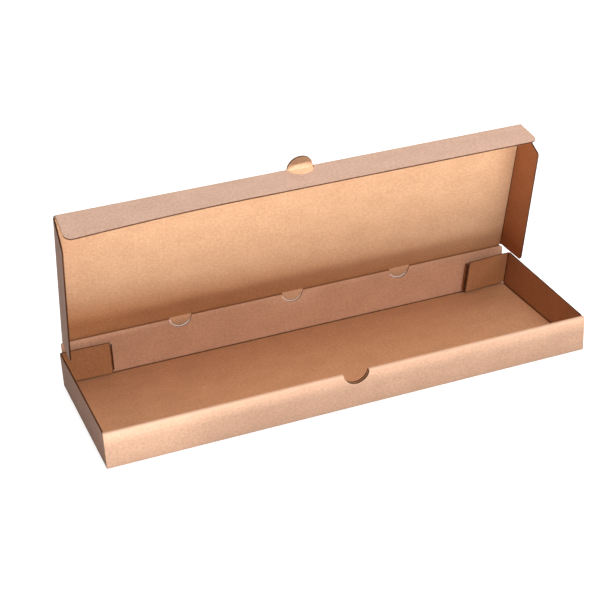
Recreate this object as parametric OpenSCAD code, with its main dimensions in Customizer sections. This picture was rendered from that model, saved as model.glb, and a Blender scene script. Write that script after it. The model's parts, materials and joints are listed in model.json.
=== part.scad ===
// Long shallow flatbread box, folded from one sheet of thin corrugated card.
// The origin is the centre of the floor's underside. X runs along the box, Y from front to back, Z up.

/* [Board] */
// Thickness of the card
board_t = 1.6; // [1.2:0.1:2]
// Clearance between layers of card folded against each other
layer_gap = 0.2; // [0.1:0.05:0.4]
// Clearance around tabs that pass through a cut
edge_gap = 0.4; // [0.2:0.1:0.6]

/* [Tray] */
// Outer length of the tray, left to right
tray_l = 500; // [420:10:600]
// Outer depth of the tray, front to back
tray_w = 168; // [150:2:240]
// Height of the front and side walls
wall_h = 38; // [32:1:44]

/* [Front wall] */
// Length of the hidden tabs inside the double front wall
front_tab_l = 42; // [25:1:60]
// Width of the finger notch at the top of the front wall
notch_w = 27.4; // [27.4:0.2:34]
// Depth of the finger notch
notch_depth = 12; // [9:0.5:13]
// Width of each lug that locks the front wall into the floor
lug_w = 24; // [16:1:32]
// Distance of each lug from the middle of the box
lug_x = 120; // [60:5:150]

/* [Back wall] */
// Height of the back wall up to the hinge crease
back_h = 48.5; // [46:0.5:54]
// Distance of each end of the back wall from the outer face of the side wall
back_inset = 3; // [2:0.5:5]
// Size of the chamfer on the back wall's top corners
back_chamfer = 3; // [1:0.5:5]
// Length of the side walls' rear tabs
rear_tab_l = 50; // [35:1:70]
// Gap between a rear tab and the back wall
rear_tab_gap = 0.6; // [0.4:0.1:1]
// Height of a rear tab above the floor
rear_tab_lift = 1.4; // [1:0.2:3]
// Distance of a rear tab's tongue from the tab's top and bottom edge
tongue_inset = 3; // [2:0.5:5]
// How far a tongue stands out behind the back wall
tongue_out = 1.2; // [0.6:0.2:3]

/* [Half-moon cuts] */
// Radius of the half-moon holes along the hinge crease
moon_r = 12; // [8:0.5:14]
// Distance between half-moon holes
moon_pitch = 122.5; // [90:0.5:130]
// Number of half-moon holes
moon_count = 3; // [1:2:3]

/* [Lid] */
// Distance of the lid's side creases from the outer faces of the side walls
lid_inset = 5.2; // [5.2:0.1:7]
// Play between the front wall and the tucked-in front flap
tuck_gap = 2.2; // [2.2:0.1:4]
// Height of the closed lid's front edge above the front wall
lid_lift = 0.8; // [0.8:0.1:1.4]
// Distance from the hinge axis to the lid's rear edge
hinge_gap = 1.25; // [1.25:0.05:1.6]
// Distance from a flap's crease to the flap's root edge
crease_gap = 1.15; // [1.05:0.05:1.4]
// Radius of the thumb tab at the lid's front edge
thumb_r = 13.5; // [10:0.5:13.5]

/* [Flaps] */
// Distance of the flaps' free edges from the floor when the box is shut
flap_floor_gap = 1.5; // [1.5:0.1:4]
// Gap between the front flap's ends and the side creases
front_flap_end_gap = 1.2; // [1.2:0.1:3]
// Radius of the front flap's free corners
front_flap_corner_r = 8; // [4:0.5:14]
// How much deeper a side flap is at the back than at the front
side_flap_flare = 3.5; // [1:0.5:4.5]
// Distance of a side flap's root from the hinge axis
side_flap_back_gap = 2.5; // [2.5:0.1:5]
// Slope of a side flap's rear edge, measured along the lid
side_flap_back_taper = 7; // [6:0.5:12]
// Distance of a side flap's root from the front crease
side_flap_front_gap = 2; // [2:0.1:5]
// Slope of a side flap's front edge, measured along the lid
side_flap_front_taper = 11.5; // [9:0.5:20]
// Radius of a side flap's free corners
side_flap_corner_r = 4; // [2:0.5:8]

/* [Pose] */
// Angle of the open lid, forward from upright
lid_lean = 14.6; // [0:0.1:60]
// Angle of a side flap outward from square to the lid
side_splay = 3.4; // [0:0.1:3.4]
// Angle of the front flap inward past square to the lid
front_over_fold = 4; // [3:0.1:8]

/* [Hidden] */
$fn = 48;

kraft_floor = [0.74, 0.52, 0.37];
kraft_lid = [0.90, 0.70, 0.52];
kraft_front_flap = [0.86, 0.72, 0.62];
kraft_side_flap = [0.62, 0.38, 0.24];

// Cutters reach this far past what they cut.
over = 1;
// Number of straight steps in a rounded corner of an outline
corner_steps = 6;

half_l = tray_l / 2;
half_w = tray_w / 2;
half_t = board_t / 2;
inner_x = half_l - board_t;

// The front wall is three layers of card with two gaps.
front_d = 3 * board_t + 2 * layer_gap;
front_tab_y = -half_w + board_t + layer_gap;
front_inner_y = -half_w + front_d - board_t;
notch_r = (notch_w * notch_w / 4 + notch_depth * notch_depth) / (2 * notch_depth);

// The back wall, its tabs and the hinge axis on its top edge
back_inner_y = half_w - board_t;
back_half_l = half_l - back_inset;
rear_tab_y = back_inner_y - rear_tab_gap - board_t;
rear_tab_z = board_t + rear_tab_lift;
rear_tab_top = wall_h - edge_gap;
tongue_x = inner_x - rear_tab_l;
hinge_y = half_w - half_t;
hinge_z = back_h;
moon_xs = [for (i = [0 : moon_count - 1]) (i - (moon_count - 1) / 2) * moon_pitch];

// The lid reaches from the hinge axis to just behind the front wall.
lid_half_l = half_l - lid_inset;
lid_d = tray_w - board_t - front_d - tuck_gap;
shut_front_z = wall_h + lid_lift + half_t;
shut_slope = asin((hinge_z - shut_front_z) / lid_d);
flap_d = (shut_front_z - board_t - flap_floor_gap) / cos(shut_slope);

// A flat shape given in Y and Z, made solid from x0 to x1
module along_x(x0, x1) translate([x0, 0, 0]) rotate([90, 0, 90]) linear_extrude(x1 - x0) children();

// A flat shape given in X and Z, made solid from y0 to y1
module along_y(y0, y1) translate([0, y1, 0]) rotate([90, 0, 0]) linear_extrude(y1 - y0) children();

// A quarter of a disc at a centre, in the quadrant of the two signs: the section of a sharp fold
module fold(centre, sx, sy) {
    translate(centre) intersection() {
        circle(board_t);
        translate([sx > 0 ? 0 : -board_t, sy > 0 ? 0 : -board_t]) square(board_t);
    }
}

// The points that round one corner of an outline
function round_points(before, corner, after, r) =
    let (
        u = (before - corner) / norm(before - corner),
        v = (after - corner) / norm(after - corner),
        half = acos(u * v) / 2,
        middle = (u + v) / norm(u + v),
        centre = corner + middle * r / sin(half),
        from = corner + u * r / tan(half) - centre,
        turn = (cross(u, v) > 0 ? -1 : 1) * (180 - 2 * half)
    )
    [for (i = [0 : corner_steps]) let (a = turn * i / corner_steps)
        centre + [from.x * cos(a) - from.y * sin(a), from.x * sin(a) + from.y * cos(a)]];

// An outline whose corners are rounded where their radius isn't zero
module rounded_outline(points, radii) {
    n = len(points);
    polygon([for (i = [0 : n - 1])
        each radii[i] > 0
            ? round_points(points[(i + n - 1) % n], points[i], points[(i + 1) % n], radii[i])
            : [points[i]]]);
}

module floor_panel() {
    slot_y = front_inner_y - edge_gap;
    difference() {
        translate([-inner_x, -half_w + board_t, 0])
            cube([2 * inner_x, tray_w - 2 * board_t, board_t]);
        for (side = [-1, 1])
            translate([side * lug_x - lug_w / 2 - edge_gap, slot_y, -over])
                cube([lug_w + 2 * edge_gap, board_t + 2 * edge_gap, board_t + 2 * over]);
    }
}

// The outer face, the folds and the flat top of the double front wall, from the front edge at zero
module front_outer_section() {
    fold([board_t, board_t], -1, -1);
    translate([0, board_t]) square([board_t, wall_h - 2 * board_t]);
    fold([board_t, wall_h - board_t], -1, 1);
    translate([board_t, wall_h - board_t]) square([front_d - 2 * board_t, board_t]);
    fold([front_d - board_t, wall_h - board_t], 1, 1);
}

module front_wall() {
    inner_half = inner_x - edge_gap;
    inner_z = board_t + layer_gap;
    difference() {
        union() {
            along_x(-half_l, half_l) translate([-half_w, 0]) front_outer_section();
            translate([-inner_half, front_inner_y, inner_z])
                cube([2 * inner_half, board_t, wall_h - board_t - inner_z]);
        }
        along_y(-half_w - over, -half_w + front_d + over)
            translate([0, wall_h - notch_depth + notch_r]) circle(notch_r);
    }
    for (side = [-1, 1])
        translate([side * lug_x - lug_w / 2, front_inner_y, layer_gap])
            cube([lug_w, board_t, inner_z]);
}

module back_wall() {
    slot_z = rear_tab_z + tongue_inset - edge_gap;
    slot_h = rear_tab_top - rear_tab_z - 2 * tongue_inset + 2 * edge_gap;
    along_x(-back_half_l, back_half_l) fold([back_inner_y, board_t], 1, -1);
    difference() {
        union() {
            along_y(back_inner_y, half_w) polygon([
                [-back_half_l, board_t], [back_half_l, board_t],
                [back_half_l, hinge_z - back_chamfer], [back_half_l - back_chamfer, hinge_z],
                [back_chamfer - back_half_l, hinge_z], [-back_half_l, hinge_z - back_chamfer]]);
            along_x(back_chamfer - back_half_l, back_half_l - back_chamfer)
                translate([hinge_y, hinge_z]) circle(half_t);
        }
        along_y(back_inner_y - over, half_w + over) {
            for (x = moon_xs) translate([x, hinge_z]) circle(moon_r);
            for (side = [-1, 1])
                translate([side * (tongue_x - half_t) - half_t - edge_gap, slot_z])
                    square([board_t + 2 * edge_gap, slot_h]);
        }
    }
}

// The right side wall with its two tabs: the left one is its mirror image
module side_wall() {
    start_y = front_tab_y + board_t;
    end_y = rear_tab_y;
    tab_top = wall_h - board_t - layer_gap;
    tab_z = board_t + edge_gap;
    along_y(start_y, end_y) fold([inner_x, board_t], 1, -1);
    along_x(inner_x, half_l) polygon([
        [start_y, board_t], [end_y, board_t], [end_y, wall_h],
        [-half_w + front_d + edge_gap, wall_h], [-half_w + front_d + edge_gap, tab_top],
        [start_y, tab_top]]);
    translate([0, 0, tab_z]) linear_extrude(tab_top - tab_z) {
        fold([inner_x, start_y], 1, -1);
        translate([inner_x - front_tab_l, front_tab_y]) square([front_tab_l, board_t]);
    }
    translate([0, 0, rear_tab_z]) linear_extrude(rear_tab_top - rear_tab_z) {
        fold([inner_x, end_y], 1, 1);
        translate([tongue_x, rear_tab_y]) square([rear_tab_l, board_t]);
    }
    rear_tongue();
}

// The end of the right rear tab, turned back through its slot in the back wall
module rear_tongue() {
    bend_y = rear_tab_y + board_t;
    z = rear_tab_z + tongue_inset;
    translate([0, 0, z]) linear_extrude(rear_tab_top - tongue_inset - z) {
        fold([tongue_x, bend_y], -1, -1);
        translate([tongue_x - board_t, bend_y]) square([board_t, half_w + tongue_out - bend_y]);
    }
}

module tray() {
    color(kraft_floor) union() {
        floor_panel();
        front_wall();
        back_wall();
        for (side = [0, 1]) mirror([side, 0, 0]) side_wall();
    }
}

// The lid and its flaps are drawn with the lid level, its inner face down and the hinge axis at zero.
module in_lid_pose() translate([0, hinge_y, hinge_z]) rotate([lid_lean - 90, 0, 0]) children();

module lid() {
    color(kraft_lid) in_lid_pose() {
        translate([0, 0, -half_t]) linear_extrude(board_t) {
            translate([-lid_half_l, -lid_d]) square([2 * lid_half_l, lid_d - hinge_gap]);
            translate([0, -lid_d]) circle(thumb_r);
            for (x = moon_xs) translate([x, 0]) half_moon_tab();
        }
        for (side = [-1, 1]) translate([side * lid_half_l, -hinge_gap, 0]) rotate([90, 0, 0])
            cylinder(h = lid_d - hinge_gap, r = half_t);
        for (side = [0, 1]) mirror([side, 0, 0]) translate([thumb_r - half_t, -lid_d, 0])
            rotate([0, 90, 0]) cylinder(h = lid_half_l - thumb_r + half_t, r = half_t);
    }
}

// One tab of the lid that fills a half-moon hole, with its neck to the lid
module half_moon_tab() {
    r = moon_r - edge_gap;
    intersection() {
        circle(r);
        translate([-r, 0]) square([2 * r, r]);
    }
    translate([-r, -hinge_gap]) square([2 * r, hinge_gap]);
}

module lid_front_flap() {
    half = lid_half_l - front_flap_end_gap;
    color(kraft_front_flap) in_lid_pose() translate([0, -lid_d, 0]) rotate([90 + front_over_fold, 0, 0])
        translate([0, 0, -half_t]) linear_extrude(board_t) difference() {
            rounded_outline(
                [[-half, -crease_gap], [half, -crease_gap], [half, -flap_d], [-half, -flap_d]],
                [0, 0, front_flap_corner_r, front_flap_corner_r]);
            circle(thumb_r + edge_gap);
        }
}

// The right side flap, flat and level with the lid, its crease along Y at zero
module side_flap_sheet() {
    back_d = flap_d + side_flap_flare;
    translate([0, 0, -half_t]) linear_extrude(board_t) rounded_outline(
        [[crease_gap, -side_flap_back_gap], [crease_gap, side_flap_front_gap - lid_d],
            [flap_d, side_flap_front_gap + side_flap_front_taper - lid_d],
            [back_d, -side_flap_back_gap - side_flap_back_taper]],
        [0, 0, side_flap_corner_r, side_flap_corner_r]);
}

module side_flap(side) {
    color(kraft_side_flap) in_lid_pose() mirror([side > 0 ? 0 : 1, 0, 0])
        translate([lid_half_l, 0, 0]) rotate([0, 90 - side_splay, 0]) side_flap_sheet();
}

module lid_left_flap() side_flap(-1);
module lid_right_flap() side_flap(1);

tray();
lid();
lid_front_flap();
lid_left_flap();
lid_right_flap();
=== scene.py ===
"""The looks of a long flatbread box, folded from one sheet of fine-flute card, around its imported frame.

Each panel is modelled as the card is made: an outer liner, an inner liner, and between them a wavy fluting
that shows at the cut edges. Lengths are in metres, in the frame's axes.
"""
import json
import math

import bpy
import numpy as np
from mathutils import Matrix, Vector
from mathutils.geometry import delaunay_2d_cdt


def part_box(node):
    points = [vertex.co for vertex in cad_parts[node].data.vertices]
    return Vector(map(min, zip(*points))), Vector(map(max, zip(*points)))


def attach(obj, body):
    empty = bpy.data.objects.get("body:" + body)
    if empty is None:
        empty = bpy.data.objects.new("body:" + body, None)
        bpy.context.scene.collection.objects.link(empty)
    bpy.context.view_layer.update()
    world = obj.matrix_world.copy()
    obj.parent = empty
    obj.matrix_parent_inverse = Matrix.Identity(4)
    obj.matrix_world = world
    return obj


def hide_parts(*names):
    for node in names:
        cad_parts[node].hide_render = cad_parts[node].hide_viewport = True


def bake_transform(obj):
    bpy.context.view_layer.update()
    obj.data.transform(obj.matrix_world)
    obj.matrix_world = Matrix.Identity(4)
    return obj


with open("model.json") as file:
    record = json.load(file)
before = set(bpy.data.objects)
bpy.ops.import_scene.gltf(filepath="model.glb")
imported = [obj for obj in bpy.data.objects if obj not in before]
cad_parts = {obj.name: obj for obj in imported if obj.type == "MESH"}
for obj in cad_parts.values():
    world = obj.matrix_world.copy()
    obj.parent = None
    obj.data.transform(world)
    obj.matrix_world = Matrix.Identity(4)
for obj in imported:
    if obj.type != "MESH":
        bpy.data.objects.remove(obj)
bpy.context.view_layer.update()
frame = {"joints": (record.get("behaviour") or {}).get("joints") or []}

MM = 0.001
X = Vector((1, 0, 0))
Y = Vector((0, 1, 0))
Z = Vector((0, 0, 1))


def joint(name):
    """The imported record's joint of that name."""
    return next(j for j in frame["joints"] if j["name"] == name)


def flat_angle(name):
    """How far a flap turns out from rest to lie flat with the lid: the low end of its joint's range."""
    return math.radians(-joint(name)["range_deg"][0])


# The card
BOARD = 1.6 * MM
HALF = BOARD / 2
LINER = 0.28 * MM
FLUTING = 0.18 * MM
FLUTE_PITCH = 3.3 * MM
FLUTE_STEPS = 8
# The fluting is modelled this far in from a cut edge, and ends this far inside it.
FLUTE_DEPTH = 7 * MM
FLUTE_SETBACK = 0.12 * MM
# A cut edge this close to a fold's end is not one, and this lies beyond any panel.
TOUCHING = 1e-6
BEYOND = 1.0
# What rounding may add to a length along a strip
ROUNDING = 1e-9
# Radius of the middle of the card where it folds, and along the hinge crease
FOLD_R = 0.95 * MM
HINGE_R = 4 * MM
# Radius of a slight bend, where the card is neither pressed nor worn and has no painted crease shade
BEND_R = 15 * MM
# Angle between two rows of vertices round a fold
FOLD_STEP = math.radians(13)
# Spacing of the vertices over a flat panel
GRID = 9 * MM
# Distance from a fold at which its wear outside and its painted crease shade inside end, and the share of the
# card's thickness that is pressed out in it
WEAR_AND_SHADE_REACH = 1.3 * MM
PINCH = 0.3
# Shading turns sharp at edges above this angle.
SHARP = math.radians(35)
LAYER_GAP = 0.2 * MM
EDGE_GAP = 0.4 * MM

# The tray
TRAY_LOW, TRAY_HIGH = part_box("tray")
HALF_L = TRAY_HIGH.x
FRONT_Y = TRAY_LOW.y
WALL_H = 38 * MM
INNER_X = HALF_L - BOARD
SIDE_X = HALF_L - HALF
FRONT_D = 3 * BOARD + 2 * LAYER_GAP
NOTCH_W = 27.4 * MM
NOTCH_DEPTH = 12 * MM
LUG_W = 24 * MM
LUG_X = 120 * MM
FRONT_TAB_L = 42 * MM
BACK_HALF_L = HALF_L - 3 * MM
BACK_CHAMFER = 3 * MM
REAR_TAB_L = 50 * MM
REAR_TAB_GAP = 0.6 * MM
REAR_TAB_LIFT = 1.4 * MM
TONGUE_INSET = 3 * MM
TONGUE_OUT = 1.2 * MM
# How far the right wall's top leans out at its rear end
RIGHT_WALL_LEAN = 6 * MM
# How far the free ends of the left and the right rear tab spring off the back wall, and how far from the side
# wall the tabs bend for it
REAR_TAB_SPRINGS = {-1: 0.8 * MM, 1: 3.2 * MM}
REAR_TAB_BEND = 16 * MM
MOON_R = 12 * MM
MOON_PITCH = 122.5 * MM
MOON_XS = [-MOON_PITCH, 0, MOON_PITCH]

# The lid and its flaps
HINGE = Vector(joint("lid_hinge")["pos_m"])
HINGE_MIDDLE = Vector((0, HINGE.y, HINGE.z))
FRONT_CREASE = Vector(joint("front_flap_fold")["pos_m"])
SIDE_CREASE_X = joint("right_flap_fold")["pos_m"][0]
LID_UP = (FRONT_CREASE - HINGE).normalized()
LID_IN = X.cross(LID_UP)
LID_D = (FRONT_CREASE - HINGE).length
FRONT_FOLD = flat_angle("front_flap_fold")
SIDE_FOLD = flat_angle("right_flap_fold")
CREASE_GAP = 1.15 * MM
HINGE_GAP = 1.25 * MM
THUMB_R = 13.5 * MM
# Depth of the flaps, from crease to free edge
FLAP_D = 36.557 * MM
# How far the middle of the lid is hollowed away from the tray
LID_HOLLOW = 0.6 * MM
# How far a half-moon tab's tip is bent in, towards the back wall's plane
MOON_BEND = 1.3 * MM
FRONT_FLAP_END_GAP = 1.2 * MM
FRONT_FLAP_HALF_L = SIDE_CREASE_X - FRONT_FLAP_END_GAP
FRONT_FLAP_CORNER_R = 8 * MM
# The front flap springs up from its crease by this angle, but less and less over this length at its left end.
FRONT_FLAP_SPRING = math.radians(10.5)
FRONT_FLAP_HELD = 170 * MM
SIDE_FLARE = 3.5 * MM
SIDE_BACK_GAP = 2.5 * MM
SIDE_BACK_TAPER = 7 * MM
SIDE_FRONT_GAP = 2 * MM
SIDE_FRONT_TAPER = 11.5 * MM
SIDE_CORNER_R = 4 * MM
BACK_Y = HINGE.y
# Half length of the lid between the bands of its side creases
LID_HALF_L = SIDE_CREASE_X - CREASE_GAP
# The side walls' strips start on the floor, this far before their folds.
SIDE_ROOT = 2.3 * MM
SIDE_ROOT_X = SIDE_X - SIDE_ROOT
# Middle planes of the rear tabs, the front tabs and the tongues
REAR_TAB_Y = BACK_Y - HALF - REAR_TAB_GAP - HALF
FRONT_TAB_Y = FRONT_Y + BOARD + LAYER_GAP + HALF
TONGUE_X = INNER_X - REAR_TAB_L - HALF
# A tab's strip starts this far before its fold.
TAB_ROOT = 2.4 * MM

# Material slots of a piece of card: its outer paper, its inner paper, its cut edges, and a second inner
# paper, for the back wall, the rear tabs, and the lid's half-moon tabs and thumb tab, with painted light and
# shade of its own
OUTER, INNER, CORE, REAR = 0, 1, 2, 3

# Linear colours of folds, worn on the outer side and with painted shade on the inner side, and of cut edges
WORN_OUTER = (0.72, 0.46, 0.32)
# Painted shade: the inner side of the folds of the tray and the side flaps is dark, where shade falls in the
# crease.
INNER_CREASE_SHADE = (0.10, 0.035, 0.015)
# Painted shade: the inner side of the lid's hinge crease and front crease is dark, where shade falls in the
# crease.
LID_CREASE_SHADE = (0.26, 0.12, 0.06)
# Painted shade: cut edges are made dark for the shade inside the open flutes.
CUT_COLOUR_WITH_FLUTE_SHADE = (0.16, 0.065, 0.032)

# The textures of paper: cells for each millimetre across and along the flutes, detail and roughness
TEXTURES = {
    "clouds": ((0.035, 0.05), 4.0, 0.6),
    "fibres": ((0.32, 0.42), 3.0, 0.65),
    "grain": ((0.9, 1.1), 3.0, 0.7),
    "specks": ((0.5, 0.9), 2.0, 0.6),
    "patches": ((0.03, 0.02), 2.0, 0.6),
    "fold_mottle": ((0.25, 0.25), 4.0, 0.6),
    "tearing": ((1.2, 1.2), 4.0, 0.7),
}
# How much each texture, and the ribs of the flutes, adds to a paper's shade, height and roughness
IN_SHADE = {"clouds": 0.3, "fibres": 0.62, "grain": 0.5, "specks": 2.2, "ribs": 0.016}
IN_HEIGHT = {"fibres": 0.5, "grain": 0.35, "ribs": 0.35, "clouds": 0.8}
IN_ROUGHNESS = {"fibres": 0.2, "clouds": 0.1}
# Specks are the parts of their texture under this value, and ribs have this strength on average.
SPECK_LEVEL = -0.21
RIB_LEVEL = 0.6
PAPER_ROUGHNESS = 0.78
PAPER_RELIEF = 0.05 * MM
CUT_SHADE = 0.5
CUT_ROUGHNESS = 0.95
CUT_RELIEF = 0.06 * MM
SPECULAR = 0.1
# How much the red, green and blue of card change with its shade
SHADE_DEPTH = (0.85, 1.0, 1.15)
# Painted shade on the lid's inner paper near its hinge, where shade falls: where it is full and where it
# ends, in mm along the sheet, how much further it reaches for each mm to the left, its strength at the lid's
# left and right ends, and its tint
HINGE_PAINTED_SHADE = (13, 67, 0.06, 1.0, 0.8, (0.73, 0.54, 0.40))

# The photograph's view, as a turn round a point on the box
CAMERA_AIM = Vector((-11.73, 29.24, 65.89)) * MM
CAMERA_AZIMUTH = math.radians(-20.39)
CAMERA_ELEVATION = math.radians(27.65)
CAMERA_ROLL = math.radians(-2.91)
CAMERA_DISTANCE = 1505.13 * MM
CAMERA_LENS = 89.83

# The floor: half its width, its grey, the white that it adds to its own light where it is seen, near the box
# and far from it, and the two distances
FLOOR_HALF = 12.0
FLOOR_GREY = 0.6
FLOOR_GLOW = (0.8, 1.0)
FLOOR_FADE = (0.8, 2.5)

# Name, place, what it points at, width and height in metres, watts and spread in degrees
LIGHTS = [
    ("top", (0, 0, 2.2), (0, 0, 0), (1.6, 1.6), 17.5, 180),
    ("top_right", (1.0, 0, 1.9), (0, 0, 0), (1.2, 1.2), 10, 180),
    ("front_high", (0, -1.8, 1.6), (0, 0, 0.1), (1.2, 1.2), 17.2, 180),
    ("front_right", (1.6, -1.6, 1.0), (0, 0, 0.1), (1.2, 1.2), 11, 180),
    ("left", (-2.0, 0.2, 0.8), (0, 0, 0.1), (1.0, 1.0), 2.8, 180),
    ("back", (0.2, 2.0, 0.4), (0, 0.1, 0.1), (0.8, 0.6), 16, 180),
    ("bounce_left", (-0.22, -0.27, 0.004), (-0.22, -0.32, 0.5), (0.3, 0.16), 3.4, 180),
    ("bounce_middle", (0.07, -0.27, 0.004), (0.07, -0.32, 0.5), (0.3, 0.16), 2.2, 180),
    ("bounce_right", (0.35, -0.27, 0.004), (0.35, -0.32, 0.5), (0.2, 0.16), 2.9, 180),
    ("wall_all", (0, -0.32, 0.024), (0, -0.084, 0.024), (0.62, 0.02), 0.034, 25),
    ("wall_left", (-0.26, -0.32, 0.024), (-0.26, -0.084, 0.024), (0.2, 0.02), 0.012, 25),
]


class Strip:
    """A band of card folded round a line of corners, which the middle of its thickness follows.

    axis runs across the band. A place on it is a, the distance along axis, s, the length along the folded
    band from its first corner, and w, the height above the middle on the side that faces into the box."""

    def __init__(self, axis, corners, radii=()):
        self.axis = axis
        self.pieces = []
        self.flats = []
        radii = [*radii, *[FOLD_R] * len(corners)]
        tangents = [(b - a).normalized() for a, b in zip(corners, corners[1:])]
        s, back_cut = 0.0, 0.0
        for k, tangent in enumerate(tangents):
            turn, cut, radius = 0.0, 0.0, radii[k]
            if k + 1 < len(tangents):
                turn = math.atan2(tangents[k + 1].dot(axis.cross(tangent)), tangents[k + 1].dot(tangent))
                cut = radius * math.tan(abs(turn) / 2)
            start = corners[k] + tangent * back_cut
            length = (corners[k + 1] - corners[k]).length - back_cut - cut
            self.pieces.append((s, length, start, tangent, 0.0, 0.0))
            self.flats.append((s, s + length, back_cut))
            s += length
            if turn:
                self.pieces.append((s, radius * abs(turn), start + tangent * length, tangent, turn, radius))
                s += radius * abs(turn)
            back_cut = cut
        self.length = s

    def s_at(self, flat, distance):
        """The length along the band at a distance from the sharp corner where a flat part starts."""
        return self.flats[flat][0] + distance - self.flats[flat][2]

    def fold_rows(self):
        """The lengths at which a fold, its wear and its painted crease shade need vertices."""
        rows = []
        for s, length, _, _, turn, _ in self.pieces:
            if turn:
                steps = math.ceil(abs(turn) / FOLD_STEP)
                rows += [s - WEAR_AND_SHADE_REACH, s + length + WEAR_AND_SHADE_REACH] + [s + length * i / steps for i in range(steps + 1)]
        return rows

    def wear_and_shade(self, s):
        """Fold wear and painted crease shade: 1 on a fold, fading to 0 over the flat card beside it."""
        near = [max(p[0] - s, s - p[0] - p[1], 0.0) for p in self.pieces if p[4] and p[5] < BEND_R]
        return max([1 - d / WEAR_AND_SHADE_REACH for d in near if d < WEAR_AND_SHADE_REACH], default=0.0)

    def place(self, a, s, w):
        """Where a place on the band is in space."""
        piece = next((p for p in self.pieces if s <= p[0] + p[1] + ROUNDING), self.pieces[-1])
        start_s, length, start, tangent, turn, radius = piece
        along = s - start_s
        normal = self.axis.cross(tangent)
        if not turn:
            return start + tangent * along + normal * w + self.axis * a
        sign = math.copysign(1, turn)
        angle = along / radius
        middle = start + radius * (tangent * math.sin(angle) + normal * (sign * (1 - math.cos(angle))))
        here = normal * math.cos(angle) - tangent * (sign * math.sin(angle))
        pinch = PINCH if radius < BEND_R else 0.0
        pressed = 1 - pinch * math.sin(math.pi * min(max(along / length, 0.0), 1.0)) ** 2
        return middle + here * (w * pressed) + self.axis * a


def crossings(loops, value):
    """The stretches inside the loops along the line where the first coordinate is value."""
    found = []
    for loop in loops:
        for (a0, s0), (a1, s1) in zip(loop, loop[1:] + loop[:1]):
            if (a0 > value) != (a1 > value):
                found.append(s0 + (value - a0) * (s1 - s0) / (a1 - a0))
    found.sort()
    return list(zip(found[::2], found[1::2]))


def inside(loops, points):
    """Which of the points lie inside an odd number of the loops."""
    pa, ps = points[:, 0], points[:, 1]
    count = np.zeros(len(points), int)
    for loop in loops:
        for (a0, s0), (a1, s1) in zip(loop, loop[1:] + loop[:1]):
            if s0 != s1:
                count += ((s0 > ps) != (s1 > ps)) & (pa < a0 + (ps - s0) * (a1 - a0) / (s1 - s0))
    return count % 2 == 1


def steps_between(low, high, step):
    """Evenly spaced values from low to high, at most step apart."""
    count = max(1, math.ceil((high - low) / step))
    return [low + (high - low) * i / count for i in range(count + 1)]


def rectangle(a0, a1, s0, s1):
    """An outline from one value to another both ways."""
    return [(a0, s0), (a1, s0), (a1, s1), (a0, s1)]


def arc(centre, radius, start, end, steps=14):
    """Points on a circle from one angle to another, in degrees."""
    angles = [math.radians(start + (end - start) * i / steps) for i in range(steps + 1)]
    return [(centre[0] + radius * math.cos(t), centre[1] + radius * math.sin(t)) for t in angles]


def rounded(points, radii, steps=7):
    """An outline whose corners are rounded where their radius isn't zero."""
    loop = []
    count = len(points)
    for i, (corner, radius) in enumerate(zip(points, radii)):
        if not radius:
            loop.append(corner)
            continue
        here = Vector(corner)
        u = (Vector(points[i - 1]) - here).normalized()
        v = (Vector(points[(i + 1) % count]) - here).normalized()
        half = math.acos(max(-1.0, min(1.0, u.dot(v)))) / 2
        centre = here + (u + v).normalized() * radius / math.sin(half)
        start = here + u * radius / math.tan(half) - centre
        turn = (math.pi - 2 * half) * (-1 if u.cross(v) > 0 else 1)
        for k in range(steps + 1):
            c, s = math.cos(turn * k / steps), math.sin(turn * k / steps)
            loop.append((centre.x + start.x * c - start.y * s, centre.y + start.x * s + start.y * c))
    return loop


def triangulate(loops, rows, columns):
    """The triangles of an outline with holes, cut along rows and columns: points, and triples of numbers."""
    points, edges = [], []

    def add(chain, closed):
        first = len(points)
        points.extend(Vector(p) / MM for p in chain)
        edges.extend((first + i, first + i + 1) for i in range(len(chain) - 1))
        if closed:
            edges.append((len(points) - 1, first))

    for loop in loops:
        add(loop, True)
    low, high = np.array(loops[0]).min(0), np.array(loops[0]).max(0)
    for s in rows:
        if low[1] < s < high[1]:
            add([(low[0], s), (high[0], s)], False)
    for a in columns:
        if low[0] < a < high[0]:
            add([(a, low[1]), (a, high[1])], False)
    found, _, faces, *_ = delaunay_2d_cdt(points, edges, [], 0, 1e-4)
    flat = np.array([tuple(p) for p in found]) * MM
    centres = np.array([flat[list(f)].mean(0) for f in faces])
    kept = [f for f, good in zip(faces, inside(loops, centres)) if good]
    used = sorted({i for f in kept for i in f})
    number = {old: new for new, old in enumerate(used)}
    return flat[used], [[number[i] for i in f] for f in kept]


def no_warp(a, s):
    """A panel that stays flat."""
    return 0.0


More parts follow.
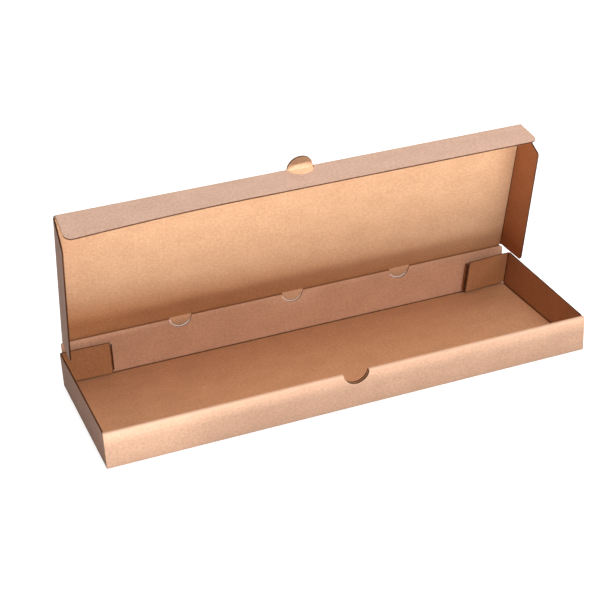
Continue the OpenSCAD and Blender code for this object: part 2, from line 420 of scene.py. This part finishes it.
class Card:
    """A mesh of card under construction. Each vertex keeps its place on the flat sheet and its wear and
    painted shade.
    """

    def __init__(self, name):
        self.name = name
        self.points, self.sheet, self.worn_and_shaded = [], [], []
        self.faces, self.slots = [], []

    def add_point(self, place, across, along, wear_and_shade=0.0):
        """The number of a new vertex with its place in space and on the sheet."""
        self.points.append(place)
        self.sheet.append((across, along))
        self.worn_and_shaded.append(wear_and_shade)
        return len(self.points) - 1

    def add_face(self, corners, slot):
        """A new face with its material slot."""
        self.faces.append(corners)
        self.slots.append(slot)

    def panel(self, strip, loops, along_s=True, warp=no_warp, origin=(0.0, 0.0), fluted=(),
              cut_ends=(False, False), rear=None, more_rows=()):
        """The two liners of one outline with holes, and fluting between them on the flat parts in fluted.

        along_s says that the flutes run along the strip, and not across it. warp gives how far the card is
        bent at a and s, origin is the panel's place on the sheet, and cut_ends says whether the strip's own
        two ends are cut edges. The inner liner has the second inner paper where rear is true of a and s, and
        more_rows are lengths at which it may change."""
        low, high = np.array(loops[0]).min(0), np.array(loops[0]).max(0)
        rows = [*strip.fold_rows(), *more_rows]
        for start, end, _ in strip.flats:
            rows += steps_between(start, end, GRID)
        flat, faces = triangulate(loops, rows, steps_between(low[0], high[0], GRID)[1:-1])
        for face, back, slot in ((HALF, HALF - LINER, INNER), (-HALF, LINER - HALF, OUTER)):
            # The second inner paper, with its painted light and shade, goes where rear is true.
            slots = [REAR if slot == INNER and rear and rear(*flat[f].mean(0)) else slot for f in faces]
            self.liner(strip, flat, zip(faces, slots), (face, back), warp, along_s, origin)
        for number in fluted:
            start, end, _ = strip.flats[number]
            limits = (start - BEYOND * (cut_ends[0] and number == 0),
                      end + BEYOND * (cut_ends[1] and end == strip.length))
            self.fluting(strip, loops, limits, warp, along_s, origin)

    def liner(self, strip, flat, faces, heights, warp, along_s, origin):
        """One liner: the face that shows, the face glued to the fluting, and the cut rim between them."""
        layers = []
        for w in heights:
            layer = []
            for a, s in flat:
                place = strip.place(a, s, w + warp(a, s))
                u, v = (a, s) if along_s else (s, a)
                layer.append(self.add_point(place, u + origin[0], v + origin[1], strip.wear_and_shade(s)))
            layers.append(layer)
        top, bottom = layers
        directed = set()
        for face, slot in faces:
            face = face if heights[0] > 0 else face[::-1]
            self.add_face([top[i] for i in face], slot)
            self.add_face([bottom[i] for i in face[::-1]], CORE)
            directed.update(zip(face, face[1:] + face[:1]))
        for i, j in sorted(directed):
            if (j, i) not in directed:
                self.add_face([top[j], top[i], bottom[i], bottom[j]], CORE)

    def fluting(self, strip, loops, limits, warp, along_s, origin):
        """The wavy sheet between the liners, near the cut edges within the limits along the strip."""
        turned = loops if along_s else [[(s, a) for a, s in loop] for loop in loops]
        low, high = np.array(turned[0]).min(0), np.array(turned[0]).max(0)
        first, last = (low[0], high[0]) if along_s else (max(low[0], limits[0]), min(high[0], limits[1]))
        low, high = limits if along_s else (low[1] - BEYOND, high[1] + BEYOND)
        waves, growing = [], []
        for u in steps_between(first + FLUTE_SETBACK, last - FLUTE_SETBACK, FLUTE_PITCH / FLUTE_STEPS):
            runs = []
            for start, end in crossings(turned, u):
                cut_low, cut_high = start > low + TOUCHING, end < high - TOUCHING
                start = max(start + FLUTE_SETBACK * cut_low, low)
                end = min(end - FLUTE_SETBACK * cut_high, high)
                if end - start < FLUTE_SETBACK:
                    continue
                if u - first < FLUTE_DEPTH or last - u < FLUTE_DEPTH:
                    runs.append((start, end))
                    continue
                if cut_low:
                    runs.append((start, min(start + FLUTE_DEPTH, end)))
                if cut_high:
                    runs.append((max(end - FLUTE_DEPTH, start), end))
            reached = []
            for run in runs:
                near = [w for w in growing if np.abs(np.subtract(w[-1][1], run)).max() < FLUTE_DEPTH / 2]
                wave = near[0] if near else None
                if wave:
                    growing.remove(wave)
                else:
                    wave = []
                    waves.append(wave)
                wave.append((u, run))
                reached.append(wave)
            growing = reached
        for wave in waves:
            if len(wave) > 1:
                self.wave(strip, wave, warp, along_s, origin)

    def wave(self, strip, wave, warp, along_s, origin):
        """One closed stretch of fluting, over columns with a place across the flutes and two ends each."""
        reach = HALF - LINER - FLUTING / 2
        rings = []
        for u, run in wave:
            middle = reach * math.sin(2 * math.pi * (u + origin[0]) / FLUTE_PITCH)
            ring = []
            for v in run:
                a, s = (u, v) if along_s else (v, u)
                for w in (middle - FLUTING / 2, middle + FLUTING / 2):
                    place = strip.place(a, s, w + warp(a, s))
                    ring.append(self.add_point(place, u + origin[0], v + origin[1]))
            rings.append(ring)
        faces = [[rings[0][i] for i in (0, 1, 3, 2)], [rings[-1][i] for i in (2, 3, 1, 0)]]
        for old, new in zip(rings, rings[1:]):
            faces += [[old[i], new[i], new[j], old[j]] for i, j in ((0, 1), (3, 2), (1, 3), (2, 0))]
        for face in faces:
            self.add_face(face if along_s else face[::-1], CORE)

    def build(self, body, node, papers):
        """The finished piece of two or three papers, riding on a body and standing for a CAD node."""
        mesh = bpy.data.meshes.new(self.name)
        mesh.from_pydata([tuple(p) for p in self.points], [], self.faces)
        sheet = mesh.uv_layers.new(name="sheet")
        corners = np.zeros(len(mesh.loops), int)
        mesh.loops.foreach_get("vertex_index", corners)
        sheet.data.foreach_set("uv", np.array(self.sheet, np.float32)[corners].ravel())
        wear_and_shade = mesh.attributes.new("wear_and_shade", "FLOAT", "POINT")
        wear_and_shade.data.foreach_set("value", np.array(self.worn_and_shaded, np.float32))
        for paper_material in (*papers[:CORE], CUT_EDGE, *papers[CORE:]):
            mesh.materials.append(paper_material)
        mesh.polygons.foreach_set("material_index", self.slots)
        mesh.shade_smooth()
        mesh.set_sharp_from_angle(angle=SHARP)
        mesh.update()
        piece = bpy.data.objects.new(self.name, mesh)
        bpy.context.scene.collection.objects.link(piece)
        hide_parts(node)
        if body:
            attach(piece, body)
        return piece


class Nodes:
    """A new node material, and short ways to add and join its nodes."""

    def __init__(self, name):
        self.material = bpy.data.materials.new(name)
        self.material.use_nodes = True
        self.tree = self.material.node_tree
        self.shader = self.tree.nodes["Principled BSDF"]

    def add(self, kind, settings=None, **inputs):
        """A node with its settings, and its inputs by name, or by number as in _0: values or outputs."""
        node = self.tree.nodes.new(kind)
        for key, value in (settings or {}).items():
            setattr(node, key, value)
        for key, value in inputs.items():
            socket = node.inputs[int(key[1:])] if key[1:].isdigit() else node.inputs[key.replace("_", " ")]
            if isinstance(value, bpy.types.NodeSocket):
                self.tree.links.new(value, socket)
            else:
                socket.default_value = value
        return node

    def math(self, operation, a, b=0.0):
        """What an operation makes of one or two values."""
        return self.add("ShaderNodeMath", {"operation": operation}, _0=a, _1=b).outputs[0]

    def place(self):
        """The place on the flat sheet, in mm across and along the flutes."""
        sheet = self.add("ShaderNodeUVMap", {"uv_map": "sheet"}).outputs[0]
        return self.add("ShaderNodeVectorMath", {"operation": "SCALE"}, Vector=sheet, Scale=1 / MM).outputs[0]

    def texture(self, place, name):
        """Noise between about -0.5 and 0.5, from the table of textures."""
        scale, detail, roughness = TEXTURES[name]
        spread = self.add("ShaderNodeMapping", Vector=place, Scale=(*scale, 1.0)).outputs[0]
        noise = self.add("ShaderNodeTexNoise", Vector=spread, Scale=1.0, Detail=detail, Roughness=roughness)
        return self.math("SUBTRACT", noise.outputs["Fac"], 0.5)

    def tint(self, kind, factor, colour, other):
        """A colour mixed with a fixed one, or multiplied by it, where the factor is high."""
        mixed = self.add("ShaderNodeMix", {"data_type": "RGBA", "blend_type": kind})
        self.tree.links.new(factor, mixed.inputs["Factor"])
        self.tree.links.new(colour, mixed.inputs[6])
        mixed.inputs[7].default_value = (*other, 1)
        return mixed.outputs[2]

    def relief(self, height, distance):
        """Bumps of a height, at this distance for each unit of it."""
        bump = self.add("ShaderNodeBump", Strength=1.0, Distance=distance, Height=height)
        self.tree.links.new(bump.outputs[0], self.shader.inputs["Normal"])

    def weigh(self, *pairs):
        """The sum of values, each times its weight."""
        total = 0.0
        for value, weight in pairs:
            node = self.add("ShaderNodeMath", {"operation": "MULTIPLY_ADD"}, _0=value, _1=weight, _2=total)
            total = node.outputs[0]
        return total

    def shade(self, colour, amount):
        """A colour made lighter where the amount is over zero, and darker and deeper where it is under."""
        joined = self.add("ShaderNodeCombineColor")
        for socket, value, depth in zip(joined.inputs, colour, SHADE_DEPTH):
            self.tree.links.new(self.weigh((amount, depth * value), (1.0, value)), socket)
        return joined.outputs[0]


def paper(name, colour, worn_and_shaded, painted_shade=None):
    """Kraft paper over fluting: fibres, specks, clouds, and faint ribs of the flutes. Colours are linear."""
    nodes = Nodes(name)
    place = nodes.place()
    across, along, _ = nodes.add("ShaderNodeSeparateXYZ", Vector=place).outputs
    values = {kind: nodes.texture(place, kind) for kind in ("clouds", "fibres", "grain")}
    specks = nodes.math("SUBTRACT", nodes.texture(place, "specks"), SPECK_LEVEL)
    values["specks"] = nodes.math("MINIMUM", specks, 0.0)
    ribs = nodes.math("COSINE", nodes.math("MULTIPLY", across, 2 * math.pi * MM / FLUTE_PITCH))
    patches = nodes.math("ADD", nodes.texture(place, "patches"), RIB_LEVEL)
    values["ribs"] = nodes.math("MULTIPLY", ribs, patches)

    def total(weights):
        return nodes.weigh(*((values[kind], weight) for kind, weight in weights.items()))

    card = nodes.shade(colour, total(IN_SHADE))
    # Painted shade: the lid's inner paper darkens towards the hinge, and more so at its left end.
    if painted_shade:
        full, end, slant, left, right, tint = painted_shade
        fade = nodes.add("ShaderNodeMapRange", {"interpolation_type": "SMOOTHSTEP"},
                         Value=nodes.weigh((across, slant), (along, 1.0)),
                         From_Min=full, From_Max=end, To_Min=1.0, To_Max=0.0).outputs[0]
        strength = nodes.add("ShaderNodeMapRange", Value=across, From_Min=-HALF_L / MM, From_Max=HALF_L / MM,
                             To_Min=left, To_Max=right).outputs[0]
        card = nodes.tint("MULTIPLY", nodes.math("MULTIPLY", fade, strength), card, tint)
    # On folds: worn paper on the outer side and painted crease shade on the inner side, broken up by a
    # mottle.
    wear_and_shade = nodes.add("ShaderNodeAttribute", {"attribute_name": "wear_and_shade"}).outputs["Fac"]
    wear_and_shade_amount = nodes.math("MULTIPLY", wear_and_shade, nodes.math("ADD", nodes.texture(place, "fold_mottle"), 1.0))
    nodes.tree.links.new(nodes.tint("MIX", wear_and_shade_amount, card, worn_and_shaded), nodes.shader.inputs["Base Color"])
    nodes.relief(total(IN_HEIGHT), PAPER_RELIEF)
    roughness = nodes.math("ADD", total(IN_ROUGHNESS), PAPER_ROUGHNESS)
    nodes.tree.links.new(roughness, nodes.shader.inputs["Roughness"])
    nodes.shader.inputs["Specular IOR Level"].default_value = SPECULAR
    return nodes.material


def cut_paper(name, colour):
    """The cut edges of the liners and the fluting: darkened with painted shade of the open flutes, with a
    torn grain.
    """
    nodes = Nodes(name)
    grain = nodes.texture(nodes.place(), "tearing")
    torn = nodes.shade(colour, nodes.weigh((grain, CUT_SHADE)))
    nodes.tree.links.new(torn, nodes.shader.inputs["Base Color"])
    nodes.relief(grain, CUT_RELIEF)
    nodes.shader.inputs["Roughness"].default_value = CUT_ROUGHNESS
    nodes.shader.inputs["Specular IOR Level"].default_value = SPECULAR
    return nodes.material


CUT_EDGE = cut_paper("cut_edge", CUT_COLOUR_WITH_FLUTE_SHADE)
# Painted light and shade: the lid's inner paper is paler than the tray's, and darkened near the hinge.
LID_INNER = paper("lid_inner_painted_light_and_shade", (0.60, 0.363, 0.215), LID_CREASE_SHADE, HINGE_PAINTED_SHADE)
# The papers of each part of the box: outer, inner, and the second inner one where it has one. Some are copies
# of one paper, made lighter or darker to paint the light and shade on their part.
TRAY_PAPERS = (paper("tray_outer", (0.74, 0.455, 0.313), WORN_OUTER),
               paper("tray_inner", (0.585, 0.313, 0.171), INNER_CREASE_SHADE),
               # Painted light: the back wall's inner paper is paler than the floor's, for the light from
               # above on it.
               paper("back_inner_painted_light", (0.76, 0.45, 0.295), INNER_CREASE_SHADE))
# Painted shade: the side walls' outer and inner papers are darker than the tray's, for the shade on them.
WALL_PAPERS = (paper("wall_outer_painted_shade", (0.60, 0.365, 0.27), WORN_OUTER),
               paper("wall_inner_painted_shade", (0.405, 0.188, 0.092), INNER_CREASE_SHADE),
               # Painted shade: the rear tabs' inner paper is a little darker and deeper than the tray's.
               paper("rear_tab_inner_painted_shade", (0.56, 0.272, 0.128), INNER_CREASE_SHADE))
LID_PAPERS = (paper("lid_outer", (0.72, 0.45, 0.32), WORN_OUTER), LID_INNER,
              # Painted light: the half-moon tabs and the thumb tab have a paler inner paper than the lid.
              paper("tab_inner", (0.77, 0.47, 0.285), LID_CREASE_SHADE))
# Painted light: the front flap's outer paper is paler and cooler than the lid's, for the light from above.
FRONT_PAPERS = (paper("flap_outer_painted_light", (0.80, 0.515, 0.385), WORN_OUTER), LID_INNER)
# Painted shade: the side flaps' outer paper is darker and greyer than the lid's, and their inner paper much
# darker.
SIDE_PAPERS = (paper("side_outer_painted_shade", (0.64, 0.41, 0.32), WORN_OUTER),
               paper("side_inner_painted_shade", (0.33, 0.125, 0.051), INNER_CREASE_SHADE))


def right_lean(z):
    """How far the right wall leans out at its rear end, at a height."""
    return RIGHT_WALL_LEAN * max(0.0, (z - BOARD) / WALL_H)


def side_wall_ends():
    """The front and rear ends of the side walls, where their tabs fold inward."""
    return FRONT_TAB_Y + HALF, REAR_TAB_Y - HALF


def make_tray_wrap():
    """The double front wall, the floor and the back wall: one strip folded round the tray."""
    inner_y = FRONT_Y + FRONT_D - HALF
    top_z = WALL_H - HALF
    crease_z = HINGE.z - HINGE_GAP
    corners = [
        Vector((0, inner_y, LAYER_GAP)), Vector((0, inner_y, top_z)), Vector((0, FRONT_Y + HALF, top_z)),
        Vector((0, FRONT_Y + HALF, HALF)), Vector((0, BACK_Y, HALF)), Vector((0, BACK_Y, crease_z))]
    strip = Strip(X, corners)

    def inner_s(z):
        return strip.s_at(0, z - LAYER_GAP)

    def outer_s(z):
        return strip.s_at(2, top_z - z)

    def floor_s(y):
        return strip.s_at(3, y - FRONT_Y - HALF)

    def back_s(z):
        return strip.s_at(4, z - HALF)

    inner_half = INNER_X - EDGE_GAP
    edge_s = inner_s(BOARD + LAYER_GAP)
    start_y, end_y = side_wall_ends()
    lug_start, lug_end = LUG_X - LUG_W / 2, LUG_X + LUG_W / 2
    chamfer = BACK_HALF_L - BACK_CHAMFER
    right = [
        (lug_start, edge_s), (lug_start, 0.0), (lug_end, 0.0), (lug_end, edge_s),
        (inner_half, edge_s), (inner_half, strip.flats[0][1]), (HALF_L, strip.flats[0][1]),
        (HALF_L, strip.flats[3][0]), (INNER_X, strip.flats[3][0]), (INNER_X, floor_s(start_y)),
        (SIDE_ROOT_X, floor_s(start_y)), (SIDE_ROOT_X, floor_s(end_y)),
        (HALF_L - EDGE_GAP, floor_s(end_y)), (HALF_L - EDGE_GAP, strip.flats[3][1]),
        (BACK_HALF_L, strip.flats[3][1]), (BACK_HALF_L, back_s(HINGE.z - BACK_CHAMFER)),
        (chamfer + HINGE_GAP, back_s(crease_z))]
    left = [(-x, s) for x, s in right][::-1]
    drop = math.degrees(math.asin(HINGE_GAP / MOON_R))
    moons = []
    for x in MOON_XS[::-1]:
        moons += arc((x, back_s(HINGE.z)), MOON_R, -drop, drop - 180)
    outline = right + moons + left

    notch_r = (NOTCH_W * NOTCH_W / 4 + NOTCH_DEPTH * NOTCH_DEPTH) / (2 * NOTCH_DEPTH)
    notch_z = WALL_H - NOTCH_DEPTH + notch_r
    fold_z = top_z - FOLD_R
    half_angle = math.degrees(math.asin((notch_z - fold_z) / notch_r))
    bowl = arc((0, notch_z), notch_r, half_angle - 180, -half_angle, steps=18)
    notch = [(x, outer_s(z)) for x, z in bowl] + [(x, inner_s(z)) for x, z in bowl[::-1]]

    slot_low = floor_s(inner_y - HALF - EDGE_GAP)
    slot_high = floor_s(inner_y + HALF + EDGE_GAP)
    tongue_z = BOARD + REAR_TAB_LIFT + TONGUE_INSET
    tongue_top = WALL_H - EDGE_GAP - TONGUE_INSET
    holes = [notch]
    for side in (-1, 1):
        lug_half = LUG_W / 2 + EDGE_GAP
        holes.append(rectangle(side * LUG_X - lug_half, side * LUG_X + lug_half, slot_low, slot_high))
        slot = []
        for z, way in ((tongue_z - EDGE_GAP, 1), (tongue_top + EDGE_GAP, -1)):
            x = side * TONGUE_X + (right_lean(z) if side > 0 else 0)
            gap = way * (HALF + EDGE_GAP)
            slot += [(x - gap, back_s(z)), (x + gap, back_s(z))]
        holes.append(slot)
    card = Card("tray_wrap")
    card.panel(strip, [outline, *holes], fluted=(0, 2, 3, 4), cut_ends=(True, False),
               rear=lambda x, s: s > strip.flats[4][0])
    card.build("tray", "tray", TRAY_PAPERS)


def make_side_wall(side, name):
    """A side wall, with its tab inside the front wall and its tab before the back wall."""
    card = Card(name)
    start_y, end_y = side_wall_ends()
    corners = [(side * SIDE_ROOT_X, 0, HALF), (side * SIDE_X, 0, HALF), (side * SIDE_X, 0, WALL_H)]
    wall = Strip(-side * Y, [Vector(c) for c in corners])

    def at(y, z):
        return (-side * y, wall.s_at(1, z - HALF))

    front_low, front_high = BOARD + EDGE_GAP, WALL_H - BOARD - LAYER_GAP
    rear_low, rear_high = BOARD + REAR_TAB_LIFT, WALL_H - EDGE_GAP
    front_root, rear_root = FRONT_TAB_Y + TAB_ROOT, REAR_TAB_Y - TAB_ROOT
    shoulder_y = FRONT_Y + FRONT_D + EDGE_GAP
    outline = [
        (-side * start_y, 0.0), (-side * end_y, 0.0), at(end_y, rear_low), at(rear_root, rear_low),
        at(rear_root, rear_high), at(end_y, rear_high), at(end_y, WALL_H), at(shoulder_y, WALL_H),
        at(shoulder_y, front_high), at(front_root, front_high), at(front_root, front_low),
        at(start_y, front_low)]
    card.panel(wall, [outline], along_s=False, origin=(side * INNER_X, 0.0), fluted=(1,),
               cut_ends=(False, True))

    corners = [(SIDE_X, rear_root), (SIDE_X, REAR_TAB_Y), (INNER_X - REAR_TAB_BEND, REAR_TAB_Y),
               (TONGUE_X, REAR_TAB_Y - REAR_TAB_SPRINGS[side]), (TONGUE_X, BACK_Y + HALF + TONGUE_OUT)]
    rear = Strip(side * Z, [Vector((side * x, y, 0)) for x, y in corners], [FOLD_R, BEND_R])
    low, high = rear_low, rear_high
    end, tip = rear.flats[2][1], rear.length
    outline = [(low, 0.0), (high, 0.0), (high, end), (high - TONGUE_INSET, end),
               (high - TONGUE_INSET, tip), (low + TONGUE_INSET, tip), (low + TONGUE_INSET, end), (low, end)]
    card.panel(rear, [[(side * z, s) for z, s in outline]], origin=(0.0, rear_root), fluted=(1, 2, 3),
               cut_ends=(False, True), rear=lambda z, s: rear.flats[1][0] < s < end)

    corners = [(SIDE_X, front_root), (SIDE_X, FRONT_TAB_Y), (INNER_X - FRONT_TAB_L, FRONT_TAB_Y)]
    front = Strip(-side * Z, [Vector((side * x, y, 0)) for x, y in corners])
    outline = rectangle(*sorted((-side * front_low, -side * front_high)), 0.0, front.length)
    card.panel(front, [outline], fluted=(1,), cut_ends=(False, True))
    if side > 0:
        for point in card.points:
            point.x += right_lean(point.z) * max(0.0, (point.y - shoulder_y) / (REAR_TAB_Y - shoulder_y))
    card.build("tray", "tray", WALL_PAPERS)


def lid_strip():
    """The strip from the top of the back wall over the hinge crease, up the lid, and over its front flap."""
    flap_way = LID_UP * math.cos(FRONT_FOLD) + LID_IN * math.sin(FRONT_FOLD)
    front = HINGE_MIDDLE + LID_UP * LID_D
    return Strip(X, [HINGE_MIDDLE - Z * HINGE_GAP, HINGE_MIDDLE, front, front + flap_way * FLAP_D], [HINGE_R])


def lid_warp(x, v):
    """The lid's slight hollow, which fades out at its creases, and the bend of its half-moon tabs."""
    if v < 0:
        return MOON_BEND * (v / MOON_R) ** 2
    if v > LID_D:
        return 0.0
    return -LID_HOLLOW * math.sin(math.pi * v / LID_D) * math.cos(math.pi * x / (2 * SIDE_CREASE_X))


def make_lid(strip):
    """The lid panel, with the half-moon tabs on its rear edge and the thumb tab on its front edge."""
    def lid_s(v):
        return strip.s_at(1, v)

    low, high = HINGE_GAP, LID_D - CREASE_GAP
    corner_low, corner_high = SIDE_BACK_GAP, LID_D - SIDE_FRONT_GAP
    right = [(SIDE_CREASE_X, lid_s(low)), (SIDE_CREASE_X, lid_s(corner_low)),
             (LID_HALF_L, lid_s(corner_low)), (LID_HALF_L, lid_s(corner_high)),
             (SIDE_CREASE_X, lid_s(corner_high)), (SIDE_CREASE_X, lid_s(high))]
    thumb = [(THUMB_R, lid_s(high)), *arc((0, lid_s(LID_D)), THUMB_R, 0, 180, steps=24),
             (-THUMB_R, lid_s(high))]
    moons = []
    moon_r = MOON_R - EDGE_GAP
    for x in MOON_XS:
        moons += [(x - moon_r, lid_s(low)), *arc((x, lid_s(0)), moon_r, 180, 360, steps=18),
                  (x + moon_r, lid_s(low))]
    outline = right + thumb + [(-x, s) for x, s in right[::-1]] + moons
    card = Card("lid_panel")
    flat = Strip(X, [HINGE_MIDDLE - LID_UP * MOON_R, HINGE_MIDDLE + LID_UP * (LID_D + THUMB_R)])
    outline = [(x, s - lid_s(-MOON_R)) for x, s in outline]
    ends = (MOON_R + HINGE_GAP, MOON_R + LID_D - CREASE_GAP)
    card.panel(flat, [outline], warp=lambda x, s: lid_warp(x, s - MOON_R), fluted=(0,), cut_ends=(True, True),
               rear=lambda x, s: not ends[0] < s < ends[1], more_rows=ends)
    card.build("lid", "lid", LID_PAPERS)


def make_front_flap(strip):
    """The front flap, with a recess round the thumb tab."""
    start, end = strip.s_at(2, CREASE_GAP), strip.s_at(2, FLAP_D)
    half = FRONT_FLAP_HALF_L
    corner = FRONT_FLAP_CORNER_R
    outline = rounded([(half, start), (half, end), (-half, end), (-half, start)], [0, corner, corner, 0])
    recess_r = THUMB_R + EDGE_GAP
    drop = math.degrees(math.asin(CREASE_GAP / recess_r))
    outline += arc((0, strip.s_at(2, 0)), recess_r, 180 - drop, drop, steps=20)
    card = Card("front_flap")

    def spring(x, s):
        held = math.sin(math.pi / 2 * min(1.0, (x + half) / FRONT_FLAP_HELD))
        return -max(0.0, s - start) * math.tan(FRONT_FLAP_SPRING * held)

    card.panel(strip, [outline], warp=spring, fluted=(2,), cut_ends=(False, True))
    card.build("front_flap", "lid_front_flap", FRONT_PAPERS)


def side_strip(side):
    """The strip from the lid's edge over a side crease and out along the flap."""
    crease = Vector((side * SIDE_CREASE_X, HINGE.y, HINGE.z))
    way = X * (side * math.cos(SIDE_FOLD)) + LID_IN * math.sin(SIDE_FOLD)
    root, tip = crease - X * (side * CREASE_GAP), crease + way * (FLAP_D + SIDE_FLARE)
    return Strip(-side * LID_UP, [root, crease, tip])


def make_side_flap(side, strip, name):
    """A side flap of the lid, deeper at the back, with tapered ends."""
    start, end = strip.s_at(1, CREASE_GAP), strip.s_at(1, FLAP_D)
    points = [
        (SIDE_BACK_GAP, start), (LID_D - SIDE_FRONT_GAP, start),
        (LID_D - SIDE_FRONT_GAP - SIDE_FRONT_TAPER, end), (SIDE_BACK_GAP + SIDE_BACK_TAPER, end + SIDE_FLARE)]
    outline = rounded([(-side * v, s) for v, s in points], [0, 0, SIDE_CORNER_R, SIDE_CORNER_R])
    card = Card(name)
    card.panel(strip, [outline], along_s=False, fluted=(1,), cut_ends=(False, True))
    card.build(name, f"lid_{name}", SIDE_PAPERS)


def make_creases(strip, left, right):
    """The folded card that bends at the lid's hinge and at its flaps' creases."""
    hinge_end = strip.s_at(1, HINGE_GAP)
    xs = [-LID_HALF_L + EDGE_GAP]
    for x in MOON_XS:
        xs += [x - MOON_R, x + MOON_R]
    xs.append(LID_HALF_L - EDGE_GAP)
    card = Card("hinge_crease")
    for x0, x1 in zip(xs[::2], xs[1::2]):
        card.panel(strip, [rectangle(x0, x1, 0.0, hinge_end)])
    hinge = card.build(None, "lid", LID_PAPERS)
    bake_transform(hinge)

    front_start, front_end = strip.s_at(1, LID_D - CREASE_GAP), strip.s_at(2, CREASE_GAP)
    card = Card("front_crease")
    for side in (-1, 1):
        ends = sorted((side * (THUMB_R + EDGE_GAP), side * FRONT_FLAP_HALF_L))
        card.panel(strip, [rectangle(*ends, front_start, front_end)])
    front = card.build(None, "lid_front_flap", FRONT_PAPERS)
    strip.place(0, front_start, 0)
    strip.place(0, front_end, 0)
    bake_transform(front)

    for side, flap, name in ((-1, left, "left_flap"), (1, right, "right_flap")):
        end = flap.s_at(1, CREASE_GAP)
        card = Card(f"{name}_crease")
        ends = sorted((-side * SIDE_BACK_GAP, -side * (LID_D - SIDE_FRONT_GAP)))
        card.panel(flap, [rectangle(*ends, 0.0, end)], along_s=False)
        crease = card.build(None, f"lid_{name}", SIDE_PAPERS)
        flap.place(0, 0, 0)
        flap.place(0, end, 0)
        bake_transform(crease)


def make_box():
    """Every piece of card of the box."""
    make_tray_wrap()
    make_side_wall(-1, "tray_left_wall")
    make_side_wall(1, "tray_right_wall")
    strip = lid_strip()
    left, right = side_strip(-1), side_strip(1)
    make_lid(strip)
    make_front_flap(strip)
    make_side_flap(-1, left, "left_flap")
    make_side_flap(1, right, "right_flap")
    make_creases(strip, left, right)


def make_camera():
    """The camera at the photograph's angle, given as a turn round a point on the box."""
    data = bpy.data.cameras.new("camera")
    data.lens = CAMERA_LENS
    data.clip_start = 0.1
    data.clip_end = 50
    camera = bpy.data.objects.new("camera", data)
    bpy.context.scene.collection.objects.link(camera)
    back = Vector((math.sin(CAMERA_AZIMUTH) * math.cos(CAMERA_ELEVATION),
                   -math.cos(CAMERA_AZIMUTH) * math.cos(CAMERA_ELEVATION), math.sin(CAMERA_ELEVATION)))
    right = (-back).cross(Z).normalized()
    turn = Matrix.Rotation(-CAMERA_ROLL, 3, -back)
    right = turn @ right
    up = back.cross(right)
    camera.matrix_world = Matrix.Translation(CAMERA_AIM + back * CAMERA_DISTANCE) @ Matrix(
        (right, up, back)).transposed().to_4x4()
    bpy.context.scene.camera = camera


def seen_rays(tree):
    """1 for rays that show what is seen, straight, in a gloss or through a film, and 0 for the others."""
    path = tree.nodes.new("ShaderNodeLightPath").outputs
    total = path["Is Camera Ray"]
    for kind in ("Is Glossy Ray", "Is Transmission Ray"):
        larger = tree.nodes.new("ShaderNodeMath")
        larger.operation = "MAXIMUM"
        tree.links.new(total, larger.inputs[0])
        tree.links.new(path[kind], larger.inputs[1])
        total = larger.outputs[0]
    return total


def make_floor():
    """A large plain floor, white to the camera, which keeps the box's shadow."""
    mesh = bpy.data.meshes.new("floor")
    corners = [(x, y, 0) for x, y in rectangle(-FLOOR_HALF, FLOOR_HALF, -FLOOR_HALF, FLOOR_HALF)]
    mesh.from_pydata(corners, [], [(0, 1, 2, 3)])
    floor = bpy.data.objects.new("floor", mesh)
    bpy.context.scene.collection.objects.link(floor)
    nodes = Nodes("floor")
    nodes.shader.inputs["Base Color"].default_value = (FLOOR_GREY, FLOOR_GREY, FLOOR_GREY, 1)
    nodes.shader.inputs["Roughness"].default_value = 1
    nodes.shader.inputs["Specular IOR Level"].default_value = 0
    position = nodes.add("ShaderNodeNewGeometry").outputs["Position"]
    distance = nodes.add("ShaderNodeVectorMath", {"operation": "LENGTH"}, _0=position).outputs["Value"]
    white = nodes.add("ShaderNodeMapRange", Value=distance, From_Min=FLOOR_FADE[0], From_Max=FLOOR_FADE[1],
                      To_Min=FLOOR_GLOW[0], To_Max=FLOOR_GLOW[1]).outputs[0]
    glow = nodes.add("ShaderNodeEmission", Color=(1, 1, 1, 1),
                     Strength=nodes.math("MULTIPLY", seen_rays(nodes.tree), white))
    both = nodes.add("ShaderNodeAddShader", _0=nodes.shader.outputs[0], _1=glow.outputs[0])
    nodes.tree.links.new(both.outputs[0], nodes.tree.nodes["Material Output"].inputs["Surface"])
    mesh.materials.append(nodes.material)


def area_light(name, place, aim, size, power, spread):
    """A soft light of a width and height at a place, turned to an aim, with its beam's spread in degrees."""
    data = bpy.data.lights.new(name, "AREA")
    data.shape = "RECTANGLE"
    data.size, data.size_y = size
    data.energy = power
    data.spread = math.radians(spread)
    light = bpy.data.objects.new(name, data)
    bpy.context.scene.collection.objects.link(light)
    light.location = place
    light.visible_camera = False
    light.rotation_euler = (Vector(aim) - Vector(place)).to_track_quat("-Z", "Y").to_euler()


def make_lights():
    """The lamps, and a world that is white where it is seen and gives no light."""
    world = bpy.data.worlds.new("world")
    bpy.context.scene.world = world
    world.use_nodes = True
    tree = world.node_tree
    background = tree.nodes["Background"]
    background.inputs["Color"].default_value = (1, 1, 1, 1)
    tree.links.new(seen_rays(tree), background.inputs["Strength"])
    for light in LIGHTS:
        area_light(*light)


make_box()
make_camera()
make_floor()
make_lights()
bpy.context.scene.view_settings.view_transform = "Standard"
